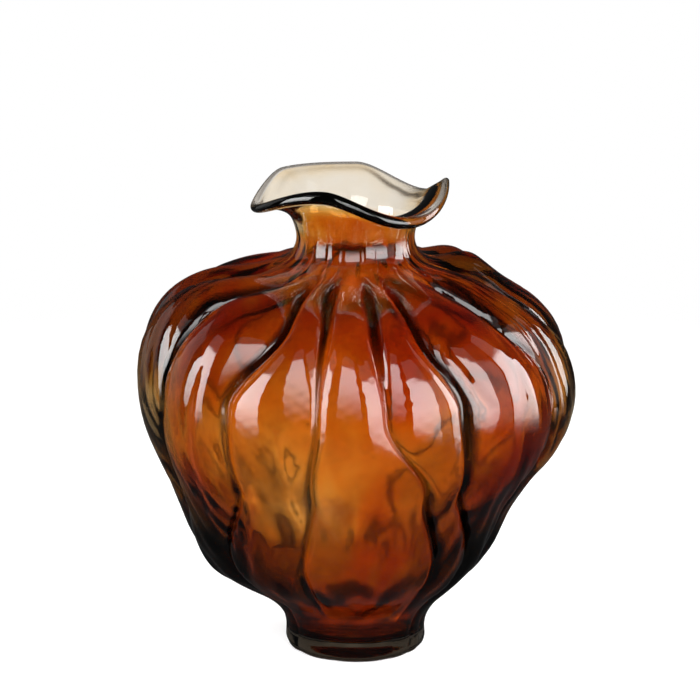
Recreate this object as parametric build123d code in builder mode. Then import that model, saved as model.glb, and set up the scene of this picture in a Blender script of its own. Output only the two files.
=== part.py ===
"""A hand-finished, mould-blown glass gourd vase with a footed, folded bulb and a wavy flared lip.

Four runs of glass, fused hot at three flat joints: the foot, the bulb, the neck and the lip.
Millimetres, +Z up, origin at the centre of the foot's underside, front towards -Y.
"""

import math
import os

from build123d import *

# Foot: a thick cup that the vase stands on, hollow above and dished below
FOOT_RADIUS = 46.5
FOOT_EDGE_ROUND = 5.0
FOOT_FLOOR = 10.0
FOOT_WELL_DEPTH = 10.0
FOOT_WELL_TAPER = 6.0
FOOT_WALL = 6.0
REST_RING_WIDTH = 11.0
DISH_DEPTH = 1.8

# Bulb: radius at the lobes' crests, and rise from the station below, from the foot up to the neck
FOOT_JOINT_RADIUS = 47.5
FLARE_RADIUS = 69.0
FLARE_RISE = 24.0
HIP_RADIUS = 96.0
HIP_RISE = 22.0
WAIST_RADIUS = 114.5
WAIST_RISE = 40.0
FLANK_RADIUS = 136.5
FLANK_RISE = 43.5
BELLY_RADIUS = 143.0
BELLY_RISE = 36.0
SHOULDER_RADIUS = 123.0
SHOULDER_RISE = 51.0
CREST_RADIUS = 88.0
CREST_RISE = 19.5
COLLAR_RADIUS = 56.0
COLLAR_RISE = 7.0
NECK_JOINT_RADIUS = 43.0
NECK_JOINT_RISE = 6.0
BULB_WALL = 8.0
SHOULDER_WALL = 5.5
BULB_SECTIONS = 24

# Folds: the creases between the lobes, each with its azimuths at five levels down the bulb, and its strength
FOLD_LEVELS = (0.93, 0.78, 0.60, 0.42, 0.22)
FOLDS = (
    ((190, 182, 178, 172, 166), 1.0),
    ((225, 211, 207, 198, 190), 1.1),
    ((243, 246, 234, 233, 214), 1.1),
    ((257, 260, 260, 257, 250), 0.75),
    ((276, 276, 278, 291, 302), 0.55),
    ((290, 291, 300, 303, 322), 1.2),
    ((322, 328, 338, 338, 338), 1.1),
    ((350, 356, 364, 366, 366), 0.9),
    ((380, 384, 391, 396, 400), 1.0),
    ((410, 412, 415, 416, 417), 1.1),
    ((436, 439, 440, 438, 434), 0.8),
    ((464, 466, 468, 470, 474), 1.0),
    ((490, 493, 496, 501, 507), 0.9),
    ((520, 521, 520, 517, 513), 1.1),
)
FOLD_SHARPNESS = 2.3
HIP_LEVEL = 0.25
BELLY_LEVEL = 0.57
SHOULDER_LEVEL = 0.90
FOOT_FOLD_DEPTH = 0.8
HIP_FOLD_DEPTH = 7.5
BELLY_FOLD_DEPTH = 6.5
SHOULDER_FOLD_DEPTH = 10.5
NECK_FOLD_DEPTH = 0.6
INNER_SOFTNESS = 0.75
LOBE_STEPS = (0.0, 0.12, 0.36, 0.64, 0.88)

# Hand-made unevenness: azimuth and level of each swelling or hollow, its spread in both, and its height
BULGES = (
    (352, 0.50, 26, 0.07, 3.0),
    (345, 0.25, 34, 0.09, -8.0),
    (348, 0.78, 30, 0.09, -6.0),
    (190, 0.27, 36, 0.10, 6.0),
    (192, 0.76, 32, 0.12, 6.5),
    (35, 0.62, 28, 0.10, 3.0),
    (78, 0.34, 32, 0.10, -4.0),
    (122, 0.55, 26, 0.10, 3.0),
    (150, 0.78, 26, 0.09, -3.0),
    (14, 0.925, 20, 0.05, 12.0),
    (185, 0.92, 18, 0.05, -2.5),
)
EVEN_END = 0.12

# Neck
THROAT_RADIUS = 38.8
THROAT_RISE = 10.0
NECK_TOP_RADIUS = 41.2
NECK_TOP_RISE = 12.0
NECK_WALL = 4.6
NECK_SECTIONS = 6

# Lip: a flared handkerchief edge, low and wide in its troughs, high and narrow on its peaks
# Azimuth of each peak and trough of the edge, with its rise above the neck, its radius and its bead
LIP_EDGE = (
    (-1, 25.5, 59.0, 5.0),
    (50, 9.0, 68.0, 4.5),
    (100, 25.2, 60.5, 4.2),
    (142, 26.2, 61.0, 4.6),
    (180, 8.8, 66.8, 7.0),
    (250, 26.0, 60.5, 8.0),
    (300, 10.5, 67.5, 7.6),
)
LIP_KNEE_RISE = 7.0
LIP_KNEE_SHARE = 0.5
LIP_KNEE_REACH = 2.5
LIP_WALL = 4.0
LIP_THIN_START = 0.5
LIP_BEAD_START = 0.85
LIP_SECTIONS = 9

# Heights of the joints
BULB_BASE = FOOT_FLOOR + FOOT_WELL_DEPTH
BULB_RISES = (
    FLARE_RISE,
    HIP_RISE,
    WAIST_RISE,
    FLANK_RISE,
    BELLY_RISE,
    SHOULDER_RISE,
    CREST_RISE,
    COLLAR_RISE,
    NECK_JOINT_RISE,
)
BULB_RADII = (
    FLARE_RADIUS,
    HIP_RADIUS,
    WAIST_RADIUS,
    FLANK_RADIUS,
    BELLY_RADIUS,
    SHOULDER_RADIUS,
    CREST_RADIUS,
    COLLAR_RADIUS,
    NECK_JOINT_RADIUS,
)
NECK_BASE = BULB_BASE + sum(BULB_RISES)
LIP_BASE = NECK_BASE + THROAT_RISE + NECK_TOP_RISE


def blend(level, stops):
    """A smooth value at a level, through (level, value) stops."""
    for (low, start), (high, end) in zip(stops, stops[1:]):
        if level <= high:
            share = max(0.0, (level - low) / (high - low))
            return start + (end - start) * share * share * (3 - 2 * share)
    return stops[-1][1]


def fold_depth(level):
    """How far the creases lie inside the crests, from the foot joint (0) to the neck joint (1)."""
    stops = (
        (0.0, FOOT_FOLD_DEPTH),
        (HIP_LEVEL, HIP_FOLD_DEPTH),
        (BELLY_LEVEL, BELLY_FOLD_DEPTH),
        (SHOULDER_LEVEL, SHOULDER_FOLD_DEPTH),
        (1.0, NECK_FOLD_DEPTH),
    )
    return blend(level, stops)


def bulb_wall(level):
    """The bulb's wall, which thins towards the shoulder and meets the foot's and the neck's."""
    stops = (
        (0.0, FOOT_WALL),
        (HIP_LEVEL, BULB_WALL),
        (BELLY_LEVEL, BULB_WALL),
        (SHOULDER_LEVEL, SHOULDER_WALL),
        (1.0, NECK_WALL),
    )
    return blend(level, stops)


def crease_azimuths(level):
    """Where each crease stands round the vase at a level."""
    return [blend(level, sorted(zip(FOLD_LEVELS, azimuths))) for azimuths, _ in FOLDS]


def lobe_points(azimuths):
    """Azimuth and fold weight of points round a ring: 1 in a crease of strength 1, and 0 on a crest."""
    strengths = [strength for _, strength in FOLDS]
    points = []
    for index, start in enumerate(azimuths):
        after = (index + 1) % len(azimuths)
        width = (azimuths[after] - start) % 360
        for step in LOBE_STEPS:
            left = strengths[index] * max(0.0, 1 - 2 * step) ** FOLD_SHARPNESS
            right = strengths[after] * max(0.0, 2 * step - 1) ** FOLD_SHARPNESS
            points.append((start + width * step, left + right))
    return points


def lobes(level):
    """Azimuth and fold weight of points round the ring at a level."""
    return lobe_points(crease_azimuths(level))


def unevenness(azimuth, level):
    """Height of the swellings and hollows at a place on the bulb, which die out at its two joints."""
    total = 0.0
    for middle, height_level, azimuth_spread, level_spread, height in BULGES:
        turn = ((azimuth - middle + 180) % 360 - 180) / azimuth_spread
        rise = (level - height_level) / level_spread
        total += height * math.exp(-0.5 * (turn * turn + rise * rise))
    return total * blend(min(level, 1 - level), ((0.0, 0.0), (EVEN_END, 1.0)))


def place(radius, azimuth, height):
    """A point at a radius, an azimuth in degrees and a height."""
    angle = math.radians(azimuth)
    return Vector(radius * math.cos(angle), radius * math.sin(angle), height)


# Every ring runs through its points at the same parameters, set by the creases' mean azimuths
MEAN_AZIMUTHS = [sum(azimuths) / len(azimuths) for azimuths, _ in FOLDS]
RING_AZIMUTHS = [azimuth for azimuth, _ in lobe_points(MEAN_AZIMUTHS)]
RING_PARAMETERS = [*RING_AZIMUTHS, RING_AZIMUTHS[0] + 360]


def closed_ring(points):
    """One smooth closed wire through points round the vase."""
    with BuildLine() as line:
        add(Edge.make_spline(points, periodic=True, parameters=RING_PARAMETERS))
    return line.wire()


# The bulb's crest line, in a half plane where X is the radius and Z the height above the foot joint
BULB_HEIGHTS = [sum(BULB_RISES[: index + 1]) for index in range(len(BULB_RISES))]
with BuildLine(Plane.XZ) as crest_line:
    Spline((FOOT_JOINT_RADIUS, 0.0), *zip(BULB_RADII, BULB_HEIGHTS))
CREST = crest_line.edge()


def bulb_points(level, inset=0.0, softness=1.0):
    """Points round the bulb's wall at a level, inset from the outside. Its end rings are flat."""
    at = CREST.position_at(level)
    along = CREST.tangent_at(level)
    out_radius, out_height = (along.Z, -along.X) if 0 < level < 1 else (1.0, 0.0)
    points = []
    for azimuth, weight in lobes(level):
        depth = inset + softness * fold_depth(level) * weight - unevenness(azimuth, level)
        points.append(place(at.X - depth * out_radius, azimuth, BULB_BASE + at.Z - depth * out_height))
    return points


def flat_ring(radius, height, level, depth):
    """A level ring that carries the bulb's folds on at the level's azimuths, with creases of a depth."""
    return closed_ring([place(radius - depth * weight, azimuth, height) for azimuth, weight in lobes(level)])


# Foot
with BuildPart() as foot:
    foot_outline = (
        (FOOT_RADIUS - FOOT_EDGE_ROUND, 0.0),
        (FOOT_RADIUS - FOOT_EDGE_ROUND / 3, FOOT_EDGE_ROUND / 3),
        (FOOT_RADIUS, FOOT_EDGE_ROUND),
        (FOOT_RADIUS, (FOOT_EDGE_ROUND + BULB_BASE) / 2),
        (FOOT_JOINT_RADIUS, BULB_BASE),
    )
    foot_rings = [flat_ring(radius, height, 0.0, FOOT_FOLD_DEPTH) for radius, height in foot_outline]
    add(Solid.make_loft(foot_rings))
    well_radius = FOOT_JOINT_RADIUS - FOOT_WALL
    well_depth = INNER_SOFTNESS * FOOT_FOLD_DEPTH
    well_floor = flat_ring(well_radius - FOOT_WELL_TAPER, FOOT_FLOOR, 0.0, well_depth)
    well_mouth = flat_ring(well_radius, BULB_BASE, 0.0, well_depth)
    add(Solid.make_loft([well_floor, well_mouth], ruled=True), mode=Mode.SUBTRACT)
    dish_radius = FOOT_RADIUS - FOOT_EDGE_ROUND - REST_RING_WIDTH
    dish_sphere_radius = (dish_radius**2 + DISH_DEPTH**2) / (2 * DISH_DEPTH)
    with Locations((0, 0, DISH_DEPTH - dish_sphere_radius)):
        Sphere(dish_sphere_radius, mode=Mode.SUBTRACT)
foot.part.label = "foot"

# Bulb
LEVELS = [index / (BULB_SECTIONS - 1) for index in range(BULB_SECTIONS)]
with BuildPart() as bulb:
    add(Solid.make_loft([closed_ring(bulb_points(level)) for level in LEVELS]))
    hollow = [closed_ring(bulb_points(level, bulb_wall(level), INNER_SOFTNESS)) for level in LEVELS]
    add(Solid.make_loft(hollow), mode=Mode.SUBTRACT)
bulb.part.label = "bulb"

# Neck
with BuildLine(Plane.XZ) as neck_line:
    Spline(
        (NECK_JOINT_RADIUS, 0.0),
        (THROAT_RADIUS, THROAT_RISE),
        (NECK_TOP_RADIUS, THROAT_RISE + NECK_TOP_RISE),
    )
NECK_OUTLINE = neck_line.edge()


def neck_ring(share, inset=0.0, softness=1.0):
    """A ring of the neck's wall, whose folds fade towards the lip."""
    at = NECK_OUTLINE.position_at(share)
    depth = softness * NECK_FOLD_DEPTH * (1 - share)
    return flat_ring(at.X - inset, NECK_BASE + at.Z, 1.0, depth)


NECK_SHARES = [index / (NECK_SECTIONS - 1) for index in range(NECK_SECTIONS)]
with BuildPart() as neck:
    add(Solid.make_loft([neck_ring(share) for share in NECK_SHARES]))
    bore = [neck_ring(share, NECK_WALL, INNER_SOFTNESS) for share in NECK_SHARES]
    add(Solid.make_loft(bore), mode=Mode.SUBTRACT)
neck.part.label = "neck"


def lip_edge(azimuth):
    """Rise, radius and bead of the lip's edge at an azimuth."""
    first = LIP_EDGE[0][0]
    turn = (azimuth - first) % 360 + first
    stops = [*LIP_EDGE, (first + 360, *LIP_EDGE[0][1:])]
    return [blend(turn, [(stop[0], stop[column]) for stop in stops]) for column in (1, 2, 3)]


def lip_point(azimuth, share, side, tip=0.0):
    """A point of the lip's wall, from the neck (0) to the edge (1), on its inner (-1) to outer (1) side."""
    edge_rise, edge_radius, bead_width = lip_edge(azimuth)
    start = (NECK_TOP_RADIUS - NECK_WALL / 2, 0.0)
    knee = (start[0] + LIP_KNEE_REACH, LIP_KNEE_RISE + LIP_KNEE_SHARE * edge_rise)
    edge = (edge_radius, edge_rise)
    rest = 1 - share
    radius = rest * rest * start[0] + 2 * rest * share * knee[0] + share * share * edge[0]
    height = 2 * rest * share * knee[1] + share * share * edge[1]
    run = rest * (knee[0] - start[0]) + share * (edge[0] - knee[0])
    rise = rest * knee[1] + share * (edge[1] - knee[1])
    along = (run / math.hypot(run, rise), rise / math.hypot(run, rise))
    out = (along[1], -along[0]) if share > 0 else (1.0, 0.0)
    walls = ((0.0, NECK_WALL), (LIP_THIN_START, LIP_WALL), (LIP_BEAD_START, LIP_WALL), (1.0, bead_width))
    half = blend(share, walls) / 2
    radius += half * (side * out[0] + tip * along[0])
    height += half * (side * out[1] + tip * along[1])
    return place(radius, azimuth, LIP_BASE + height)


def lip_ring(share, side, tip=0.0):
    """A wavy ring of the lip."""
    return closed_ring([lip_point(azimuth, share, side, tip) for azimuth, _ in lobes(1.0)])


# Lip: one skin that climbs the inside, turns over the edge and comes down the outside
LIP_SHARES = [index / (LIP_SECTIONS - 1) for index in range(LIP_SECTIONS)]
with BuildPart() as lip:
    inside = [lip_ring(share, -1) for share in LIP_SHARES]
    bead = lip_ring(1.0, 0, 1.0)
    outside = [lip_ring(share, 1) for share in reversed(LIP_SHARES)]
    skin = Shell.make_loft([*inside, bead, *outside])
    joint = Face(outside[-1], [inside[0]])
    add(Solid(Shell([*skin.faces(), joint])))
lip.part.label = "lip"

os.makedirs("parts", exist_ok=True)
for piece in (foot, bulb, neck, lip):
    export_step(piece.part, f"parts/{piece.part.label}.step")
    print(piece.part.label, round(piece.part.volume), piece.part.is_valid, piece.part.bounding_box())
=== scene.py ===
"""A hand-finished gourd vase of cased amber glass, dressed for a studio picture on a white ground.

Metres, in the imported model's frame: +Z up, the foot's underside at the origin, the front towards -Y.
Azimuths are in degrees round +Z from +X. A level is 0 where the bulb joins the foot and 1 at the neck.
"""

import math

import bpy
import numpy as np
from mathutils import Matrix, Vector


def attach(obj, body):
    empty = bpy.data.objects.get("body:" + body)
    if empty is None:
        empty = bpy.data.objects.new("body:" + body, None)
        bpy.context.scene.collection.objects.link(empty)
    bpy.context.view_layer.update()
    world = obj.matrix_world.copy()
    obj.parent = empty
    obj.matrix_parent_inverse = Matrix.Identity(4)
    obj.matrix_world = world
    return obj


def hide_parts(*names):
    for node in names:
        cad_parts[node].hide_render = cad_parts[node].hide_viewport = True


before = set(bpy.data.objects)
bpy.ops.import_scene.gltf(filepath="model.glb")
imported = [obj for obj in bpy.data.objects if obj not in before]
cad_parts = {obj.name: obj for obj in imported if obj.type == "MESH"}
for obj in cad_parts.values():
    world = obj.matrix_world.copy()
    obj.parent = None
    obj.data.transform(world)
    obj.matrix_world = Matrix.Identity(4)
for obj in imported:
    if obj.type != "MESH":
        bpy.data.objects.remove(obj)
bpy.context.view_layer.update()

# Outside of the vase from the standing ring up to the neck: radius at the lobes' crests, and height
FOOT_OUTLINE = (
    (0.0415, 0.0000),
    (0.0448, 0.0017),
    (0.0465, 0.0050),
    (0.0465, 0.0125),
)
BULB_OUTLINE = (
    (0.0475, 0.0200),
    (0.0690, 0.0440),
    (0.0960, 0.0660),
    (0.1145, 0.1060),
    (0.1365, 0.1495),
    (0.1430, 0.1855),
    (0.1230, 0.2365),
    (0.0880, 0.2560),
    (0.0560, 0.2630),
    (0.0430, 0.2690),
)
NECK_OUTLINE = (
    (0.0388, 0.2790),
    (0.0412, 0.2910),
)
WIDEST_RADIUS = max(radius for radius, _ in BULB_OUTLINE)
OUTLINE_ROWS = 230
SPLINE_STEPS = 4000

# Lobes: each crease's azimuths at five levels from shoulder to hip, its strength, and how dark its painted
# shade is there, which also scales its groove
FOLD_LEVELS = (0.93, 0.78, 0.60, 0.42, 0.22)
FOLDS = (
    ((190, 182, 178, 172, 166), 1.0, (0.7, 0.7, 0.6, 0.6, 0.7)),
    ((225, 211, 207, 198, 190), 1.1, (1.7, 1.4, 1.0, 0.8, 0.9)),
    ((243, 246, 234, 233, 214), 1.1, (1.9, 1.5, 0.6, 0.7, 0.9)),
    ((257, 260, 260, 257, 250), 0.75, (1.5, 1.0, 0.45, 0.6, 0.8)),
    ((276, 276, 278, 291, 302), 0.55, (1.4, 1.0, 0.3, 0.9, 1.7)),
    ((290, 291, 300, 303, 322), 1.2, (2.3, 2.3, 1.8, 1.6, 1.8)),
    ((322, 328, 338, 338, 338), 1.1, (1.6, 1.4, 0.35, 0.4, 1.2)),
    ((350, 356, 364, 366, 366), 0.9, (0.8, 0.7, 0.6, 0.6, 0.7)),
    ((380, 384, 391, 396, 400), 1.0, (0.8, 0.6, 0.5, 0.5, 0.7)),
    ((410, 412, 415, 416, 417), 1.1, (0.9, 0.7, 0.5, 0.6, 0.7)),
    ((436, 439, 440, 438, 434), 0.8, (0.7, 0.5, 0.4, 0.4, 0.6)),
    ((464, 466, 468, 470, 474), 1.0, (0.8, 0.7, 0.5, 0.5, 0.7)),
    ((490, 493, 496, 501, 507), 0.9, (0.7, 0.5, 0.4, 0.5, 0.6)),
    ((520, 521, 520, 517, 513), 1.1, (0.9, 0.7, 0.5, 0.6, 0.7)),
)
FOLD_SHARPNESS = 2.3

# Depth of the folds by level, and the shares of folds and of swellings that the inside follows
FOLD_DEPTHS = (
    (-0.1, 0.0004),
    (0.0, 0.0008),
    (0.25, 0.0075),
    (0.57, 0.0065),
    (0.89, 0.0105),
    (0.98, 0.0012),
    (1.0, 0.0004),
    (1.08, 0.0001),
)
INNER_FOLDS = ((0.0, 0.65), (0.6, 0.65), (0.85, 0.9))
INNER_SWELLINGS = 0.5

# Columns of points in each lobe, and how much they crowd towards its creases
LOBE_COLUMNS = 36
LOBE_CROWDING = 0.62

# Groove in each crease: its depth by level, and its widths on its steep and its gentle side
GROOVE_DEPTHS = ((0.05, 0.0), (0.2, 0.0030), (0.75, 0.0030), (0.9, 0.0020), (0.97, 0.0))
GROOVE_WIDTHS = (0.0018, 0.0034)

# Its depth changes along it by a share, some turns up the bulb, a step apart from crease to crease
GROOVE_CHANGE = 0.35
GROOVE_TURNS = 2.3
GROOVE_STEP = 0.37

# Painted shade in each crease, a dark line along it: its strength by level, and its half width for no mark
# and for a full one
CREASE_PAINTED_SHADE = ((0.05, 0.0), (0.2, 1.0), (0.9, 1.0), (0.98, 0.0))
CREASE_SHADE_WIDTHS = (0.0006, 0.0036)

# Its greatest shift to one side, as a share of that half width
CREASE_SHADE_SIDE = 0.8

# Short creases: azimuth and level of both ends, width and depth
SHORT_CREASES = (
    (226, 0.68, 214, 0.24, 0.0050, 0.0018),
    (250, 0.56, 251, 0.30, 0.0065, 0.0011),
    (298, 0.72, 307, 0.60, 0.0050, 0.0018),
    (318, 0.66, 320, 0.40, 0.0060, 0.0012),
    (240, 0.45, 226, 0.20, 0.0055, 0.0016),
    (268, 0.40, 276, 0.18, 0.0060, 0.0011),
    (352, 0.80, 350, 0.45, 0.0050, 0.0018),
    (18, 0.70, 24, 0.35, 0.0060, 0.0015),
    (66, 0.62, 70, 0.30, 0.0060, 0.0015),
    (96, 0.78, 92, 0.50, 0.0060, 0.0015),
    (126, 0.55, 122, 0.22, 0.0060, 0.0015),
    (148, 0.75, 144, 0.45, 0.0060, 0.0015),
)
SHORT_CREASE_END = 0.05

# Flutes: azimuth and level of each patch of upright waves, its spread in both, waves in a turn, and height
FLUTES = (
    (344, 0.72, 14, 0.16, 82, 0.0007),
    (200, 0.66, 9, 0.14, 74, 0.0004),
    (214, 0.34, 14, 0.10, 66, 0.0006),
    (330, 0.36, 12, 0.10, 62, 0.0006),
    (28, 0.50, 16, 0.16, 70, 0.0006),
    (100, 0.60, 18, 0.18, 66, 0.0005),
    (160, 0.45, 16, 0.16, 72, 0.0006),
)

# Phase that the waves gain over one spread of level, so that they lean
FLUTE_LEAN = 5

# Hand-made unevenness: azimuth and level of each swelling or hollow, its spread in both, and its height
BULGES = (
    (352, 0.50, 26, 0.07, 0.0030),
    (345, 0.25, 34, 0.09, -0.0080),
    (348, 0.78, 30, 0.09, -0.0060),
    (190, 0.27, 36, 0.10, 0.0060),
    (192, 0.76, 32, 0.12, 0.0065),
    (35, 0.62, 28, 0.10, 0.0030),
    (78, 0.34, 32, 0.10, -0.0040),
    (122, 0.55, 26, 0.10, 0.0030),
    (150, 0.78, 26, 0.09, -0.0030),
    (14, 0.925, 20, 0.05, 0.0120),
    (185, 0.92, 18, 0.05, -0.0025),
    (227, 0.62, 6, 0.16, 0.0045),
)
EVEN_END = 0.12

# Wall by level, and the least wall that a crease leaves
WALLS = ((0.0, 0.0060), (0.2, 0.0080), (0.60, 0.0080), (0.85, 0.0055), (1.0, 0.0046), (1.08, 0.0046))
LEAST_WALL = 0.0028

# Well inside the foot, and the dish under it
WELL_FLOOR = 0.0100
WELL_ROWS = 18
WELL_FLATNESS = 0.7
DISH_RADIUS = 0.0305
DISH_DEPTH = 0.0018
UNDERSIDE_ROWS = 12

# Lip: azimuth of each peak and trough of its edge, with its rise above the neck, its radius and its bead
LIP_EDGE = (
    (-1, 0.0255, 0.0590, 0.0044),
    (50, 0.0090, 0.0680, 0.0030),
    (90, 0.0254, 0.0605, 0.0026),
    (142, 0.0262, 0.0610, 0.0028),
    (180, 0.0092, 0.0658, 0.0058),
    (250, 0.0260, 0.0605, 0.0086),
    (300, 0.0105, 0.0675, 0.0078),
    (359, 0.0255, 0.0590, 0.0044),
)

# Knee of the lip's curve: a rise of its own, and a share of the edge's rise
LIP_KNEE_BASE = 0.0070
LIP_KNEE_SHARE = 0.5

# Wall of the lip by its share from neck to edge, and how far it has swollen into the bead
LIP_WALLS = ((0.0, 0.0046), (0.5, 0.0036), (0.85, 0.0028))
LIP_BEAD = ((LIP_WALLS[-1][0], 0.0), (1.0, 1.0))
LIP_ROWS = 26
BEAD_ROWS = 10

# Slow waves in the outside: turns round the vase, quarter waves up the bulb, phase, and height
RIPPLE_SPAN = ((0.0, 0.0), (0.1, 1.0), (0.96, 1.0), (1.06, 0.0))
OUTER_RIPPLES = (
    (9, 11.0, 0.4, 0.00016),
    (-14, 17.0, 1.9, 0.00012),
    (23, -9.0, 3.1, 0.00008),
)

# Fine waves in the outside, at full height where the vase is widest
FINE_RIPPLES = (
    (71, 160.0, 0.3, 0.000025),
    (-97, 130.0, 1.7, 0.00002),
    (53, -210.0, 2.9, 0.00002),
    (-83, -190.0, 4.4, 0.00002),
)

# Swirls low in the outside
SWIRL_SPAN = ((0.06, 0.0), (0.18, 1.0), (0.32, 1.0), (0.52, 0.0))
SWIRLS = (
    (29, 13.0, 0.2, 0.00030),
    (-37, 22.0, 1.4, 0.00022),
    (47, -17.0, 2.6, 0.00018),
    (11, 41.0, 4.1, 0.00020),
)

# Slow waves in the inside
INNER_RIPPLES = (
    (7, 13.0, 0.9, 0.00045),
    (-12, 21.0, 2.3, 0.00035),
    (19, -16.0, 4.0, 0.00025),
    (31, 27.0, 5.2, 0.00012),
)

# Amber lining: how deep in the wall its two faces lie, from the inside, and how far up the lip it goes
LINING_LIFTS = (0.0015, 0.0007)
LINING_LIP_SHARE = 0.93

# Amber: its tint at a depth of 1, the depths at which the tint is worked out, and its depth by height
AMBER = (0.70, 0.16, 0.006)
AMBER_DEPTHS = (0.0, 0.25, 0.5, 1.0, 1.5, 2.0, 3.0, 4.0)
DEEPEST_AMBER = AMBER_DEPTHS[-1]
LEAST_AMBER = 0.05
DEPTH_BY_HEIGHT = (
    (0.000, 0.80),
    (0.030, 0.80),
    (0.050, 0.75),
    (0.075, 0.50),
    (0.100, 0.52),
    (0.130, 0.42),
    (0.160, 0.42),
    (0.185, 0.52),
    (0.215, 0.75),
    (0.240, 0.90),
    (0.256, 0.85),
    (0.270, 0.60),
    (0.282, 0.52),
    (0.288, 0.12),
    (0.292, 0.05),
    (0.320, 0.04),
)

# Patches where the amber is thinner or deeper: azimuth and height, spread in both, and change of depth
AMBER_PATCHES = (
    (257, 0.115, 14, 0.030, -0.34),
    (250, 0.180, 6, 0.025, -0.15),
    (205, 0.185, 10, 0.030, -0.15),
    (300, 0.245, 18, 0.020, 0.30),
    (283, 0.220, 8, 0.020, 0.25),
    (276, 0.130, 6, 0.020, 0.30),
    (322, 0.150, 16, 0.030, 0.70),
    (222, 0.120, 12, 0.035, 0.35),
    (272, 0.085, 14, 0.015, 0.20),
    (186, 0.200, 12, 0.060, -0.40),
    (357, 0.190, 12, 0.060, -0.42),
    (205, 0.085, 14, 0.025, -0.30),
    (336, 0.085, 14, 0.025, -0.30),
    (330, 0.305, 26, 0.009, 0.80),
    (118, 0.3155, 45, 0.003, 0.07),
    (265, 0.298, 38, 0.009, 0.72),
)

# Upright flames and small clouds in the amber: noise scale, detail and distortion, and share of depth
FLAME_NOISE = (16.0, 3.0, 1.2)
FLAME_STRETCH = 3.0
FLAME_SHARE = 1.6
CLOUD_NOISE = (45.0, 5.0, 0.6)
CLOUD_SHARE = 0.7

# Casing glass: rougher on the inside, by height, and faintly pebbled by noise of a scale and a detail
GLASS_IOR = 1.5
GLASS_ROUGHNESS = 0.012
INSIDE_ROUGHNESS = 0.14
SOFT_INSIDE = ((0.0, 1.0), (0.250, 1.0), (0.268, 0.0))
PEBBLE_NOISE = (150.0, 2.0)
PEBBLE_HEIGHT = 0.00006

# Its tint by the darkness in the skin, its smoke and painted shade, from none to full, and the smoke colour
# of the glass itself
SKIN_TINTS = ((0.0, (0.95, 0.92, 0.87)), (0.5, (0.30, 0.26, 0.22)), (1.0, (0.004, 0.004, 0.004)))
SMOKE_COLOUR = (0.50, 0.46, 0.40)
SMOKE_DENSITY = 45.0

# Darkness in the skin by height, up to the neck, deepest at the foot: partly the glass's own smoke and
# partly painted shade
HEIGHT_SMOKE_AND_SHADE = (
    (0.006, 0.75),
    (0.018, 0.82),
    (0.036, 0.82),
    (0.056, 0.70),
    (0.074, 0.50),
    (0.100, 0.18),
    (0.125, 0.0),
    (0.160, 0.0),
    (0.185, 0.06),
    (0.215, 0.25),
    (0.250, 0.30),
    (0.266, 0.26),
    (0.284, 0.0),
)

# Patches of more or less darkness in the skin: azimuth and height, spread in both, and change of strength.
# Some are painted shade and painted light, as marked
SMOKE_SHADE_AND_LIGHT_PATCHES = (
    (184, 0.190, 13, 0.060, 0.40),
    (358, 0.190, 13, 0.060, 0.12),
    (200, 0.080, 17, 0.028, 0.60),
    (338, 0.085, 17, 0.028, 0.60),
    # Painted shade: a dark patch high on the shoulder
    (238, 0.252, 6, 0.006, 0.25),
    (214, 0.095, 9, 0.020, 0.35),
    (321, 0.100, 9, 0.025, 0.38),
    # Painted light: lighter windows low in the foot's front, where light comes through the foot
    (250, 0.029, 6, 0.0028, -0.85),
    (276, 0.031, 8, 0.0028, -0.85),
    (300, 0.032, 5, 0.0028, -0.70),
    (250, 0.017, 4, 0.0028, -0.80),
    (268, 0.016, 8, 0.0030, -0.85),
    (292, 0.017, 5, 0.0028, -0.80),
    (268, 0.050, 16, 0.003, -0.30),
    (14, 0.262, 18, 0.012, 0.40),
    (20, 0.090, 20, 0.030, 0.35),
    (103, 0.074, 17, 0.014, -0.42),
    (45, 0.120, 14, 0.030, 0.30),
    (318, 0.148, 11, 0.022, 0.48),
    # Painted light: a lighter window low in the foot's back
    (90, 0.022, 45, 0.013, -0.55),
    (150, 0.090, 20, 0.030, 0.35),
)

# Painted shade in the lip's bead by azimuth, a dark line along the rim, and how it begins on the outside, by
# share up the lip
LIP_BEAD_SHADE = ((0, 0.85), (60, 0.90), (140, 0.92), (190, 0.50), (220, 0.30), (310, 0.30), (360, 0.85))
LIP_EDGE_SHADE = ((0.94, 0.0), (1.0, 1.0))

# Darker streak in the lip: azimuth, spread, strength, and its share on the inside by share up the lip
LIP_STREAK = (345, 34, 0.46)
LIP_STREAK_INSIDE = ((0.3, 0.0), (0.7, 1.0))

# Dark line in the lip's inside: share up the lip by azimuth, half width, and strength by azimuth
LIP_LINE = ((10, 0.38), (38, 0.45), (60, 0.62), (85, 0.80), (130, 0.80), (170, 0.70))
LIP_LINE_WIDTH = 0.08
LIP_LINE_STRENGTH = ((0, 0.0), (20, 0.95), (64, 0.95), (90, 0.35), (150, 0.18), (172, 0.0))


def blend(level, stops):
    """Smooth values at levels, through (level, value) stops."""
    places, values = np.array(stops).T
    index = np.clip(np.searchsorted(places, level) - 1, 0, len(places) - 2)
    share = np.clip((level - places[index]) / (places[index + 1] - places[index]), 0, 1)
    share = share * share * (3 - 2 * share)
    return values[index] + (values[index + 1] - values[index]) * share


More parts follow.
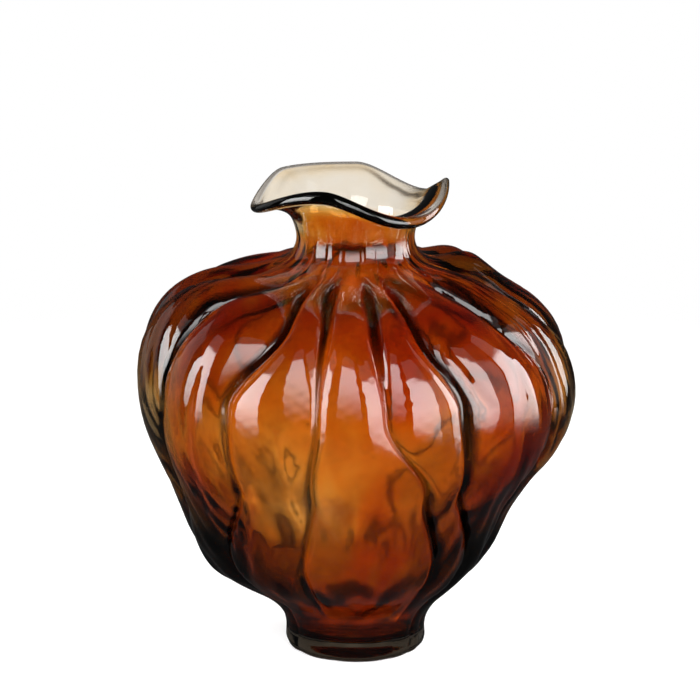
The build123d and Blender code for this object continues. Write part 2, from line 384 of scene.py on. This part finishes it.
def spline(points, count):
    """Evenly spaced points and unit tangents on a natural cubic spline.

    With them comes the share of its length at each given point.
    """
    points = np.array(points)
    chord = np.hypot(*np.diff(points, axis=0).T)
    knots = np.concatenate(([0], np.cumsum(chord)))
    size = len(points)
    system = np.eye(size)
    bends = np.zeros((size, 2))
    for i in range(1, size - 1):
        before, after = chord[i - 1], chord[i]
        system[i, i - 1 : i + 2] = before, 2 * (before + after), after
        bends[i] = 6 * ((points[i + 1] - points[i]) / after - (points[i] - points[i - 1]) / before)
    bends = np.linalg.solve(system, bends)
    fine = np.linspace(0, knots[-1], SPLINE_STEPS)
    index = np.clip(np.searchsorted(knots, fine) - 1, 0, size - 2)
    width = chord[index, None]
    right = (fine - knots[index])[:, None] / width
    left = 1 - right
    curve = left * points[index] + right * points[index + 1]
    curve += ((left**3 - left) * bends[index] + (right**3 - right) * bends[index + 1]) * width**2 / 6
    length = np.concatenate(([0], np.cumsum(np.hypot(*np.diff(curve, axis=0).T))))
    slope = np.gradient(curve, length, axis=0)
    even = np.linspace(0, length[-1], count)
    places = np.stack([np.interp(even, length, curve[:, i]) for i in (0, 1)], 1)
    along = np.stack([np.interp(even, length, slope[:, i]) for i in (0, 1)], 1)
    along /= np.linalg.norm(along, axis=1, keepdims=True)
    shares = np.interp(knots, fine, length) / length[-1]
    return places, along, shares


def turn_from(middle, azimuth):
    """Angles from a middle azimuth to azimuths, between -180 and 180 degrees."""
    return (azimuth - middle + 180) % 360 - 180


def soft_patch(turn, rise):
    """1 in a patch's middle, fading out with the turn and the rise from there, both in spreads."""
    return np.exp(-0.5 * (turn * turn + rise * rise))


def patches(points, rows):
    """Sum of patches at points, each with an azimuth, a height, a spread in both and a strength."""
    total = np.zeros(points.shape[:-1])
    azimuth = np.degrees(np.arctan2(points[..., 1], points[..., 0]))
    for middle, height, azimuth_spread, height_spread, strength in rows:
        turn = turn_from(middle, azimuth) / azimuth_spread
        rise = (points[..., 2] - height) / height_spread
        total += strength * soft_patch(turn, rise)
    return total


def along_creases(level, column):
    """What a column of FOLDS gives for each crease at levels, one row for each level."""
    return np.stack([blend(level, tuple(zip(FOLD_LEVELS, row[column]))[::-1]) for row in FOLDS], 1)


def crease_azimuths(level):
    """Azimuths of the creases at levels."""
    return along_creases(level, 0)


def crease_marks(level):
    """How darkly each crease's painted shade is drawn at levels; the same marks scale the crease's groove.
    """
    return along_creases(level, 2)


def lobes(level):
    """Columns of points round the vase, in rows by level.

    Each has an azimuth, a fold weight, an angle from the nearest crease and that crease's number.
    """
    start = crease_azimuths(level)
    width = np.diff(np.concatenate((start, start[:, :1] + 360), axis=1), axis=1)
    even = np.arange(LOBE_COLUMNS) / LOBE_COLUMNS
    step = even - LOBE_CROWDING * np.sin(2 * math.pi * even) / (2 * math.pi)
    strength = np.array([row[1] for row in FOLDS])
    left = strength[:, None] * np.maximum(0, 1 - 2 * step) ** FOLD_SHARPNESS
    right = np.roll(strength, -1)[:, None] * np.maximum(0, 2 * step - 1) ** FOLD_SHARPNESS
    rows = len(level)
    azimuth = (start[:, :, None] + width[:, :, None] * step).reshape(rows, -1)
    weight = np.broadcast_to((left + right).reshape(1, -1), azimuth.shape)
    beside = (width[:, :, None] * np.where(step < 0.5, step, step - 1)).reshape(rows, -1)
    number = (np.arange(len(FOLDS))[:, None] + (step >= 0.5)).reshape(1, -1) % len(FOLDS)
    return azimuth, weight, beside, number[0]


def short_creases(azimuth, level, radius):
    """Depth of the short creases."""
    total = np.zeros_like(azimuth)
    for top_azimuth, top, low_azimuth, low, width, depth in SHORT_CREASES:
        middle = np.interp(level, (low, top), (low_azimuth, top_azimuth))[:, None]
        arc = np.radians(turn_from(middle, azimuth)) * radius
        start = ((low - SHORT_CREASE_END, 0), (low + SHORT_CREASE_END, 1))
        end = ((top - SHORT_CREASE_END, 1), (top + SHORT_CREASE_END, 0))
        total += depth * blend(level, start + end)[:, None] * np.exp(-((arc / width) ** 2))
    return total


def flutes(azimuth, level):
    """Height of the fine upright waves."""
    total = np.zeros_like(azimuth)
    for middle, middle_level, azimuth_spread, level_spread, count, height in FLUTES:
        turn = turn_from(middle, azimuth)
        rise = (level[:, None] - middle_level) / level_spread
        patch = soft_patch(turn / azimuth_spread, rise)
        total += height * patch * np.sin(np.radians(count * turn) + FLUTE_LEAN * rise)
    return total


def unevenness(azimuth, level):
    """Height of the swellings and hollows, which die out at the bulb's two joints."""
    total = np.zeros_like(azimuth)
    for middle, middle_level, azimuth_spread, level_spread, height in BULGES:
        turn = turn_from(middle, azimuth) / azimuth_spread
        rise = (level[:, None] - middle_level) / level_spread
        total += height * soft_patch(turn, rise)
    ends = blend(np.minimum(level, 1 - level), ((0.0, 0.0), (EVEN_END, 1.0)))
    return total * ends[:, None]


def ripples(waves, azimuth, level, span=RIPPLE_SPAN):
    """Waves in the glass, which die out at the ends of a span of levels."""
    total = np.zeros_like(azimuth)
    for turns, quarters, phase, height in waves:
        rise = math.pi / 2 * quarters * level[:, None]
        total += height * np.sin(turns * np.radians(azimuth) + rise + phase)
    return total * blend(level, span)[:, None]


def place(radius, azimuth, height):
    """Points at radii, azimuths in degrees and heights."""
    angle = np.radians(azimuth)
    radius, height = np.broadcast_arrays(radius, height)
    return np.stack([radius * np.cos(angle), radius * np.sin(angle), height], -1)


def outline_rows():
    """Places, tangents and levels up the outline of the foot, the bulb and the neck."""
    places, along, shares = spline(FOOT_OUTLINE + BULB_OUTLINE + NECK_OUTLINE, OUTLINE_ROWS)
    first, last = shares[len(FOOT_OUTLINE)], shares[len(FOOT_OUTLINE + BULB_OUTLINE) - 1]
    level = (np.linspace(0, 1, OUTLINE_ROWS) - first) / (last - first)
    return places, along, level


def sunk_row(places, along, depth):
    """Radius and height at a depth under the outline."""
    return places[..., 0] - depth * along[..., 1], places[..., 1] + depth * along[..., 0]


def sunk(places, along, azimuth, depth):
    """Points at a depth under the outline."""
    radius, height = sunk_row(places[:, None], along[:, None], depth)
    return place(radius, azimuth, height)


def outer_rows():
    """Rows of points up the outside of the foot, the bulb and the neck, and the painted shade in the
    creases.
    """
    places, along, level = outline_rows()
    radius = places[:, :1]
    azimuth, weight, beside, number = lobes(level)
    arc = np.radians(beside) * radius
    turns = level[:, None] * GROOVE_TURNS + number * GROOVE_STEP
    change = 1 + GROOVE_CHANGE * np.sin(2 * math.pi * turns)
    mark = crease_marks(level)[:, number]
    groove = np.exp(-((arc / np.where(arc < 0, *GROOVE_WIDTHS)) ** 2)) * np.minimum(mark, 1) * change
    depth = blend(level, FOLD_DEPTHS)[:, None] * weight - unevenness(azimuth, level)
    depth += blend(level, GROOVE_DEPTHS)[:, None] * groove + ripples(OUTER_RIPPLES, azimuth, level)
    depth += short_creases(azimuth, level, radius) + flutes(azimuth, level)
    depth += ripples(FINE_RIPPLES, azimuth, level) * (radius / WIDEST_RADIUS) ** 2
    depth += ripples(SWIRLS, azimuth, level, SWIRL_SPAN)
    deepest = inner_depth(azimuth, level, weight) - LEAST_WALL
    depth = np.where(level[:, None] < 0, depth, np.minimum(depth, deepest))
    # Painted shade: a dark line along each crease, a little to one side of it
    narrow, wide = CREASE_SHADE_WIDTHS
    width = narrow + (wide - narrow) * mark * change
    side = CREASE_SHADE_SIDE * np.cos(np.radians(crease_azimuths(level)[:, number]))
    beside_crease = np.exp(-((arc / width - side) ** 4))
    darkness = blend(level, CREASE_PAINTED_SHADE)[:, None] * np.minimum(mark, 1) * beside_crease
    return sunk(places, along, azimuth, depth), np.clip(darkness, 0, 1)


def inner_depth(azimuth, level, weight):
    """Depth of the bulb's and the neck's inside under the outline."""
    swelling = unevenness(azimuth, level)
    depth = blend(level, WALLS)[:, None] - np.where(swelling > 0, INNER_SWELLINGS * swelling, swelling)
    depth += (blend(level, INNER_FOLDS) * blend(level, FOLD_DEPTHS))[:, None] * weight
    return depth + ripples(INNER_RIPPLES, azimuth, level)


def inner_rows(lift):
    """Rows of points up the inside of the bulb and the neck, lifted outwards into the wall."""
    places, along, level = outline_rows()
    inside = level >= 0
    places, along, level = places[inside], along[inside], level[inside]
    azimuth, weight, _, _ = lobes(level)
    return sunk(places, along, azimuth, inner_depth(azimuth, level, weight) - lift)


def underside_rows(ring):
    """Rows of points under the foot, from its middle out to its standing ring."""
    shrink = np.linspace(0, 1, UNDERSIDE_ROWS + 1)[1:-1]
    rows = ring * shrink[:, None, None]
    radius = np.hypot(rows[..., 0], rows[..., 1])
    rows[..., 2] = DISH_DEPTH * np.clip(1 - (radius / DISH_RADIUS) ** 2, 0, 1)
    return rows


def well_rows(mouth, floor):
    """Rows of points from the middle of the well in the foot up to its mouth."""
    bowl = np.linspace(0, math.pi / 2, WELL_ROWS + 1)[1:-1]
    rows = mouth * np.sin(bowl)[:, None, None]
    rows[..., 2] = floor + (mouth[..., 2] - floor) * (1 - np.cos(bowl) ** WELL_FLATNESS)[:, None]
    return rows


def lip_rows(share, side, tip, azimuth):
    """Rows of points of the lip at shares of its curve, from the neck (0) to the edge (1).

    They lie on its inner (-1) to outer (1) side, and past its edge where tip is 1.
    """
    turn = (azimuth - LIP_EDGE[0][0]) % 360 + LIP_EDGE[0][0]
    columns = [blend(turn, [(row[0], row[column]) for row in LIP_EDGE]) for column in (1, 2, 3)]
    edge_height, edge_radius, bead = columns
    share = share[:, None]
    rest = 1 - share
    places, along, _ = outline_rows()
    start, start_height = sunk_row(places[-1], along[-1], LIP_WALLS[0][1] / 2)
    knee_height = start_height + LIP_KNEE_BASE + LIP_KNEE_SHARE * edge_height
    knee = start + (knee_height - start_height) * along[-1, 0] / along[-1, 1]
    edge_height = NECK_OUTLINE[-1][1] + edge_height
    radius = rest**2 * start + 2 * rest * share * knee + share**2 * edge_radius
    height = rest**2 * start_height + 2 * rest * share * knee_height + share**2 * edge_height
    run = rest * (knee - start) + share * (edge_radius - knee)
    rise = rest * (knee_height - start_height) + share * (edge_height - knee_height)
    length = np.hypot(run, rise)
    wall = blend(share, LIP_WALLS)
    half = (wall + (bead - wall) * blend(share, LIP_BEAD)) / 2
    radius = radius + half * (side[:, None] * rise + tip[:, None] * run) / length
    height = height + half * (tip[:, None] * rise - side[:, None] * run) / length
    return place(radius, azimuth, height)


def lip_skin(share, azimuth):
    """Rows of the lip's skin up its outside, round its bead and down its inside, and their darkness, with
    painted shade along the bead.
    """
    side, tip = np.ones(LIP_ROWS), np.zeros(LIP_ROWS)
    bend = np.linspace(0, math.pi, BEAD_ROWS + 2)[1:-1]
    down = share[::-1]
    outside = lip_rows(share, side, tip, azimuth)
    bead = lip_rows(np.ones(BEAD_ROWS), np.cos(bend), np.sin(bend), azimuth)
    inside = lip_rows(down, -side, tip, azimuth)
    middle, spread, strength = LIP_STREAK
    streak = strength * soft_patch(turn_from(middle, azimuth) / spread, 0)
    # Painted shade: the bead's dark rim line
    bead_shade = blend(azimuth % 360, LIP_BEAD_SHADE)
    outside_darkness = np.maximum(blend(share, LIP_EDGE_SHADE)[:, None] * bead_shade, streak)
    line = (down[:, None] - blend(azimuth % 360, LIP_LINE)) / LIP_LINE_WIDTH
    line = blend(azimuth % 360, LIP_LINE_STRENGTH) * np.exp(-(line**2))
    inside_darkness = np.maximum(line, blend(down, LIP_STREAK_INSIDE)[:, None] * streak)
    darkness = np.concatenate((outside_darkness, np.repeat(bead_shade, BEAD_ROWS, axis=0), inside_darkness))
    return np.concatenate((outside, bead, inside)), darkness


def vase_rows():
    """Rows of the vase's skin from the middle of its underside over the lip to the middle of its well.

    With them come the darkness in the skin, partly smoke and partly painted shade and light, and its share
    of inside.
    """
    outer, crease_shade = outer_rows()
    under = underside_rows(outer[0])
    outside = np.concatenate((under, outer))
    outside_darkness = blend(outside[..., 2], HEIGHT_SMOKE_AND_SHADE) + patches(outside, SMOKE_SHADE_AND_LIGHT_PATCHES)
    outside_darkness[len(under) :] = np.maximum(outside_darkness[len(under) :], crease_shade)
    lip, lip_darkness = lip_skin(np.linspace(0, 1, LIP_ROWS + 1)[1:], lobes(np.ones(1))[0])
    inner = inner_rows(0.0)
    inside = np.concatenate((inner[::-1], well_rows(inner[0], WELL_FLOOR)[::-1]))
    clear = np.zeros(inside.shape[:2])
    rows = np.concatenate((outside, lip, inside))
    darkness = np.concatenate((np.clip(outside_darkness, 0, 1), lip_darkness, clear))
    softness = np.zeros_like(darkness)
    softness[-len(inside) :] = blend(inside[..., 2], SOFT_INSIDE)
    return rows, darkness, softness


def lining_rows():
    """Rows of the lining's skin, inside the wall.

    They go up its outer face from under the well, and down its inner face.
    """
    azimuth = lobes(np.ones(1))[0]
    share = np.linspace(0, LINING_LIP_SHARE, LIP_ROWS)[1:]
    faces = []
    for lift in LINING_LIFTS:
        inner = inner_rows(lift)
        side = 2 * lift / blend(share, LIP_WALLS) - 1
        lip = lip_rows(share, side, np.zeros_like(side), azimuth)
        faces.append(np.concatenate((well_rows(inner[0], WELL_FLOOR - lift), inner, lip)))
    return np.concatenate((faces[0], faces[1][::-1]))


def amber_depth(points):
    """Depth of the amber lining at points: one that changes with height, and patches."""
    heights, depths = np.array(DEPTH_BY_HEIGHT).T
    depth = np.interp(points[:, 2], heights, depths) + patches(points, AMBER_PATCHES)
    return np.maximum(depth, LEAST_AMBER)


def skin_points(rows, first, last):
    """The points of rings in one list, with a first and a last middle point at the list's end."""
    return np.concatenate((rows.reshape(-1, 3), [(0, 0, first), (0, 0, last)]))


def skin_mesh(name, rows, first, last):
    """A closed mesh through rings of points, between middle points at a first and a last height."""
    count, columns, _ = rows.shape
    points = skin_points(rows, first, last)
    bottom = len(points) - 2
    faces = []
    for row in range(count - 1):
        for column in range(columns):
            after = (column + 1) % columns
            low, high = row * columns, (row + 1) * columns
            faces.append((low + column, low + after, high + after, high + column))
    for column in range(columns):
        after = (column + 1) % columns
        top = (count - 1) * columns
        faces.append((bottom, after, column))
        faces.append((bottom + 1, top + column, top + after))
    mesh = bpy.data.meshes.new(name)
    mesh.from_pydata(points.tolist(), [], faces)
    mesh.polygons.foreach_set("use_smooth", [True] * len(faces))
    mesh.update()
    return mesh


def set_values(mesh, name, values):
    """Give each point of a mesh a value."""
    mesh.attributes.new(name, "FLOAT", "POINT").data.foreach_set("value", values)


def vase_mesh():
    """The vase as one closed mesh, with the darkness in its skin, partly smoke and partly painted shade and
    light, and 1 on its soft inside.
    """
    rows, darkness, softness = vase_rows()
    mesh = skin_mesh("blown_vase", rows, DISH_DEPTH, WELL_FLOOR)
    set_values(mesh, "darkness", np.append(darkness, (HEIGHT_SMOKE_AND_SHADE[0][1], 0)))
    set_values(mesh, "inside", np.append(softness, (0, 1)))
    return mesh


def lining_mesh():
    """The lining as one thin closed mesh, with the depth of its amber."""
    rows = lining_rows()
    low, high = (WELL_FLOOR - lift for lift in LINING_LIFTS)
    mesh = skin_mesh("amber_lining", rows, low, high)
    set_values(mesh, "amber", amber_depth(skin_points(rows, low, high)))
    return mesh


def ramp(tree, stops, value, soft=False):
    """A colour ramp through (position, colour) stops, which can ease in and out of each."""
    node = tree.nodes.new("ShaderNodeValToRGB")
    node.color_ramp.interpolation = "EASE" if soft else "LINEAR"
    elements = node.color_ramp.elements
    while len(elements) < len(stops):
        elements.new(1.0)
    for element, (position, colour) in zip(elements, stops):
        element.position = position
        element.color = (*colour, 1.0)
    tree.links.new(value, node.inputs["Fac"])
    return node.outputs["Color"]


def math_node(tree, operation, *values):
    """The result of one operation on numbers or node outputs."""
    node = tree.nodes.new("ShaderNodeMath")
    node.operation = operation
    for socket, value in zip(node.inputs, values):
        if isinstance(value, (int, float)):
            socket.default_value = value
        else:
            tree.links.new(value, socket)
    return node.outputs["Value"]


def noise(tree, where, scale, detail, distortion=0.0):
    """A noise texture's value at a place."""
    node = tree.nodes.new("ShaderNodeTexNoise")
    node.inputs["Scale"].default_value = scale
    node.inputs["Detail"].default_value = detail
    node.inputs["Distortion"].default_value = distortion
    tree.links.new(where, node.inputs["Vector"])
    return node.outputs["Fac"]


def attribute(tree, name):
    """The value of a mesh attribute."""
    node = tree.nodes.new("ShaderNodeAttribute")
    node.attribute_name = name
    return node.outputs["Fac"]


def stretched(tree, where, stretch):
    """Places drawn together along the vase's axis, so that what is made from them is long and upright."""
    node = tree.nodes.new("ShaderNodeVectorMath")
    node.operation = "MULTIPLY"
    node.inputs[1].default_value = (1.0, 1.0, 1.0 / stretch)
    tree.links.new(where, node.inputs[0])
    return node.outputs["Vector"]


def smoke_glass_with_painted_shade():
    """Clear smoke glass, tinted darker by its skin's darkness: partly smoke, with painted shade in the
    creases, along the lip's rim and towards the foot, and painted light in windows low on the foot.
    """
    material = bpy.data.materials.new("smoke_glass_with_painted_shade")
    material.use_nodes = True
    tree = material.node_tree
    shader = tree.nodes["Principled BSDF"]
    shader.inputs["Transmission Weight"].default_value = 1.0
    shader.inputs["IOR"].default_value = GLASS_IOR
    rougher = INSIDE_ROUGHNESS - GLASS_ROUGHNESS
    roughness = math_node(tree, "MULTIPLY_ADD", attribute(tree, "inside"), rougher, GLASS_ROUGHNESS)
    tree.links.new(roughness, shader.inputs["Roughness"])
    # Base colour from the darkness attribute, which holds painted shade and painted light as well as smoke
    tree.links.new(ramp(tree, SKIN_TINTS, attribute(tree, "darkness")), shader.inputs["Base Color"])
    where = tree.nodes.new("ShaderNodeTexCoord").outputs["Object"]
    bump = tree.nodes.new("ShaderNodeBump")
    bump.inputs["Distance"].default_value = PEBBLE_HEIGHT
    bump.inputs["Strength"].default_value = 1.0
    tree.links.new(noise(tree, where, *PEBBLE_NOISE), bump.inputs["Height"])
    tree.links.new(bump.outputs["Normal"], shader.inputs["Normal"])
    darkness = tree.nodes.new("ShaderNodeVolumeAbsorption")
    darkness.inputs["Color"].default_value = (*SMOKE_COLOUR, 1.0)
    darkness.inputs["Density"].default_value = SMOKE_DENSITY
    tree.links.new(darkness.outputs["Volume"], tree.nodes["Material Output"].inputs["Volume"])
    return material


def amber_glass():
    """The amber layer, which tints what passes through it. Its depth has flames and clouds in it."""
    material = bpy.data.materials.new("amber_glass")
    material.use_nodes = True
    tree = material.node_tree
    tree.nodes.remove(tree.nodes["Principled BSDF"])
    where = tree.nodes.new("ShaderNodeTexCoord").outputs["Object"]
    flames = noise(tree, stretched(tree, where, FLAME_STRETCH), *FLAME_NOISE)
    clouds = noise(tree, where, *CLOUD_NOISE)
    uneven = math_node(tree, "MULTIPLY", math_node(tree, "SUBTRACT", flames, 0.5), FLAME_SHARE)
    uneven = math_node(tree, "MULTIPLY_ADD", math_node(tree, "SUBTRACT", clouds, 0.5), CLOUD_SHARE, uneven)
    depth = attribute(tree, "amber")
    depth = math_node(tree, "DIVIDE", math_node(tree, "MULTIPLY_ADD", uneven, depth, depth), DEEPEST_AMBER)
    ambers = []
    for amber in AMBER_DEPTHS:
        each_face = tuple(channel ** (amber / 2) for channel in AMBER)
        ambers.append((amber / DEEPEST_AMBER, each_face))
    tint = tree.nodes.new("ShaderNodeBsdfTransparent")
    tree.links.new(ramp(tree, ambers, depth), tint.inputs["Color"])
    tree.links.new(tint.outputs["BSDF"], tree.nodes["Material Output"].inputs["Surface"])
    return material


vase = bpy.data.objects.new("blown_vase", vase_mesh())
lining = bpy.data.objects.new("amber_lining", lining_mesh())
vase.data.materials.append(smoke_glass_with_painted_shade())
lining.data.materials.append(amber_glass())
for piece in (vase, lining):
    bpy.context.scene.collection.objects.link(piece)
    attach(piece, "root")
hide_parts("foot", "bulb", "neck", "lip")

# Camera, at the photograph's height and distance, aimed so that the vase stands where it does there
CAMERA_ELEVATION = math.radians(15.5)
CAMERA_DISTANCE = 2.3
CAMERA_LENS = 178.1
CAMERA_SENSOR = 36.0
AXIS_POINT = Vector((0, 0, 0.155))
AIM_UP = 0.0465
AIM_LEFT = 0.00365
back = Vector((0, -math.cos(CAMERA_ELEVATION), math.sin(CAMERA_ELEVATION)))
up = Vector((0, math.sin(CAMERA_ELEVATION), math.cos(CAMERA_ELEVATION)))
lens = bpy.data.cameras.new("camera")
lens.lens = CAMERA_LENS
lens.sensor_width = CAMERA_SENSOR
camera = bpy.data.objects.new("camera", lens)
camera.location = AXIS_POINT + back * CAMERA_DISTANCE
aim = AXIS_POINT + up * AIM_UP - Vector((AIM_LEFT, 0, 0))
camera.rotation_euler = (aim - camera.location).to_track_quat("-Z", "Y").to_euler()
bpy.context.scene.collection.objects.link(camera)
bpy.context.scene.camera = camera

# White ground: its level where the glass mirrors it, its level where the glass's inside does, and its light
MIRRORED_LEVEL = 0.03
INNER_LEVEL = 1.0
WORLD_LIGHT = 0.6

# Floor: its levels of the same kinds, its own tone and glow, and the distances over which it fades out
FLOOR_MIRRORED_LEVEL = 0.04
FLOOR_INNER_LEVEL = 0.25
FLOOR_TONE = 0.9
FLOOR_GLOW = 0.25
FLOOR_SIZE = 6.0
FLOOR_FADE = (0.45, 0.95)


def ground_level(tree, path, mirrored_level, inner_level):
    """The ground's level: full when seen straight or through glass, and else as the glass mirrors it."""
    bounced = math_node(tree, "GREATER_THAN", path.outputs["Glossy Depth"], 0.5)
    inside = math_node(tree, "GREATER_THAN", path.outputs["Transmission Depth"], 0.5)
    level = math_node(tree, "MULTIPLY_ADD", inside, inner_level - mirrored_level, mirrored_level - 1.0)
    return math_node(tree, "MULTIPLY_ADD", bounced, level, 1.0)


def studio_world():
    """The white ground round the vase."""
    world = bpy.data.worlds.new("studio")
    world.use_nodes = True
    tree = world.node_tree
    path = tree.nodes.new("ShaderNodeLightPath")
    seen = math_node(tree, "MAXIMUM", path.outputs["Is Camera Ray"], path.outputs["Is Glossy Ray"])
    seen = math_node(tree, "MAXIMUM", seen, path.outputs["Is Transmission Ray"])
    level = ground_level(tree, path, MIRRORED_LEVEL, INNER_LEVEL)
    level = math_node(tree, "SUBTRACT", level, WORLD_LIGHT)
    level = math_node(tree, "MULTIPLY_ADD", seen, level, WORLD_LIGHT)
    tree.links.new(level, tree.nodes["Background"].inputs["Strength"])
    tree.nodes["Background"].inputs["Color"].default_value = (1, 1, 1, 1)
    return world


def floor_paper():
    """White paper with a faint glow, which fades into the white ground at a distance."""
    material = bpy.data.materials.new("floor_paper")
    material.use_nodes = True
    tree = material.node_tree
    tree.nodes.remove(tree.nodes["Principled BSDF"])
    path = tree.nodes.new("ShaderNodeLightPath")
    level = ground_level(tree, path, FLOOR_MIRRORED_LEVEL, FLOOR_INNER_LEVEL)
    tone = tree.nodes.new("ShaderNodeCombineColor")
    tone_level = math_node(tree, "MULTIPLY", level, FLOOR_TONE)
    for socket in tone.inputs:
        tree.links.new(tone_level, socket)
    matt = tree.nodes.new("ShaderNodeBsdfDiffuse")
    tree.links.new(tone.outputs["Color"], matt.inputs["Color"])
    glow = tree.nodes.new("ShaderNodeEmission")
    straight = math_node(tree, "MAXIMUM", path.outputs["Is Camera Ray"], path.outputs["Is Transmission Ray"])
    glow_level = math_node(tree, "MULTIPLY", math_node(tree, "MULTIPLY", straight, level), FLOOR_GLOW)
    tree.links.new(glow_level, glow.inputs["Strength"])
    white = tree.nodes.new("ShaderNodeAddShader")
    tree.links.new(matt.outputs["BSDF"], white.inputs[0])
    tree.links.new(glow.outputs["Emission"], white.inputs[1])
    distance = tree.nodes.new("ShaderNodeVectorMath")
    distance.operation = "LENGTH"
    tree.links.new(tree.nodes.new("ShaderNodeTexCoord").outputs["Object"], distance.inputs[0])
    fade = tree.nodes.new("ShaderNodeMapRange")
    fade.inputs["From Min"].default_value, fade.inputs["From Max"].default_value = FLOOR_FADE
    tree.links.new(distance.outputs["Value"], fade.inputs["Value"])
    clear = tree.nodes.new("ShaderNodeBsdfTransparent")
    melt = tree.nodes.new("ShaderNodeMixShader")
    tree.links.new(fade.outputs["Result"], melt.inputs["Fac"])
    tree.links.new(white.outputs["Shader"], melt.inputs[1])
    tree.links.new(clear.outputs["BSDF"], melt.inputs[2])
    tree.links.new(melt.outputs["Shader"], tree.nodes["Material Output"].inputs["Surface"])
    return material


bpy.context.scene.world = studio_world()

floor_mesh = bpy.data.meshes.new("floor")
half = FLOOR_SIZE / 2
corners = [(-half, -half, 0), (half, -half, 0), (half, half, 0), (-half, half, 0)]
floor_mesh.from_pydata(corners, [], [(0, 1, 2, 3)])
floor_mesh.materials.append(floor_paper())
floor = bpy.data.objects.new("floor", floor_mesh)
bpy.context.scene.collection.objects.link(floor)

# Softboxes: azimuth, width, height of the middle, and brightness of each
LAMP_DISTANCE = 1.4
LAMP_TALL = 2.4
SOFTBOXES = (
    (202, 0.88, 0.67, 11.0),
    (263, 0.86, 1.25, 7.0),
    (308, 0.98, 0.67, 10.0),
    (340, 0.62, 0.67, 1.2),
    (9, 0.60, 0.67, 10.0),
    (150, 0.90, 0.67, 0.4),
)

# Share of the brightness by share up a softbox: a bright band, with a faint veil above it
VEIL = 0.06
LAMP_BAND = ((0.0, 0.0), (0.40, 1.0), (0.62, 1.0), (0.70, VEIL), (1.0, VEIL))


def softbox(azimuth, width, height, radiance):
    """A tall lamp that faces the vase's axis."""
    lamp = bpy.data.lights.new("softbox", "AREA")
    lamp.shape = "RECTANGLE"
    lamp.size, lamp.size_y = width, LAMP_TALL
    lamp.energy = radiance * math.pi * width * LAMP_TALL
    lamp.use_nodes = True
    tree = lamp.node_tree
    split = tree.nodes.new("ShaderNodeSeparateXYZ")
    tree.links.new(tree.nodes.new("ShaderNodeNewGeometry").outputs["Parametric"], split.inputs["Vector"])
    greys = [(position, (level, level, level)) for position, level in LAMP_BAND]
    band = ramp(tree, greys, split.outputs["Y"], soft=True)
    tree.links.new(band, tree.nodes["Emission"].inputs["Strength"])
    lamp_object = bpy.data.objects.new("softbox", lamp)
    angle = math.radians(azimuth)
    lamp_object.location = LAMP_DISTANCE * math.cos(angle), LAMP_DISTANCE * math.sin(angle), height
    face = Vector((0, 0, height))
    lamp_object.rotation_euler = (face - lamp_object.location).to_track_quat("-Z", "Y").to_euler()
    lamp_object.visible_camera = False
    lamp_object.visible_transmission = False
    bpy.context.scene.collection.objects.link(lamp_object)


for row in SOFTBOXES:
    softbox(*row)

bpy.context.scene.view_settings.view_transform = "Standard"
